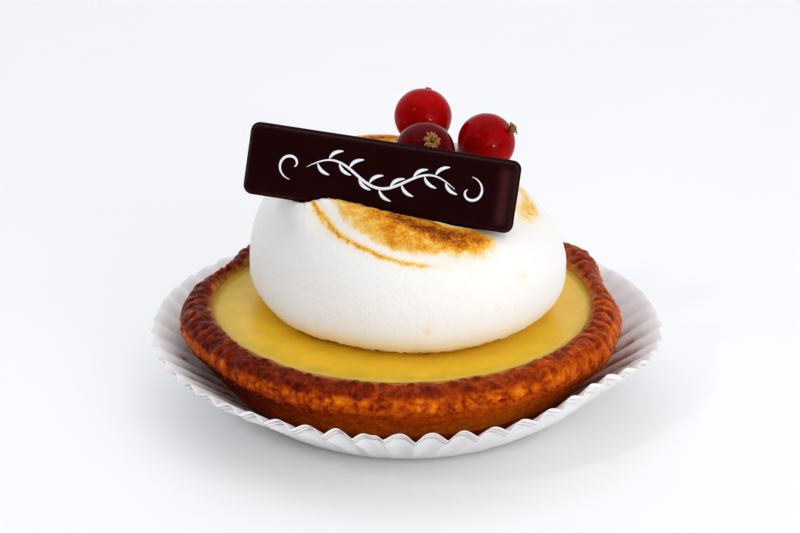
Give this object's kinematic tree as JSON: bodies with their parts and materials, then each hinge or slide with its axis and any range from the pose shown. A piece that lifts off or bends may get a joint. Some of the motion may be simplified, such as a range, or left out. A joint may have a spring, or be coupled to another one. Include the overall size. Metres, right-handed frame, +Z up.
{
  "type": "lemon tartlet",
  "caption": "Lemon meringue tartlet: crimped shortcrust shell with lemon filling, piped toasted meringue, red currants and a dark chocolate bar, in nested pleated paper cases.",
  "frame": {"origin": "below the middle of the crust, on the flat base of the outermost paper case, which the tartlet stands on", "axes": "+Z up; the face of the chocolate bar looks towards -Y, and +X is to the right of someone who faces it"},
  "size_m": [0.0933, 0.0934, 0.0559],
  "materials": {
    "paper": "matte white baking paper, pleated",
    "crust": "baked shortcrust, glossy where brushed",
    "lemon": "smooth lemon curd, satin, translucent",
    "meringue": "matte piped meringue, toasted in places",
    "chocolate": "tempered dark chocolate, satin",
    "currant": "glossy translucent red skin with a dry flower end"
  },
  "bodies": {
    "root": {"paper_case_inner": "paper", "paper_case_middle": "paper", "paper_case_outer": "paper", "crust": "crust", "lemon_filling": "lemon", "meringue": "meringue", "chocolate_bar": "chocolate", "currant_front": "currant", "currant_rear": "currant", "currant_right": "currant"}
  },
  "joints": []
}
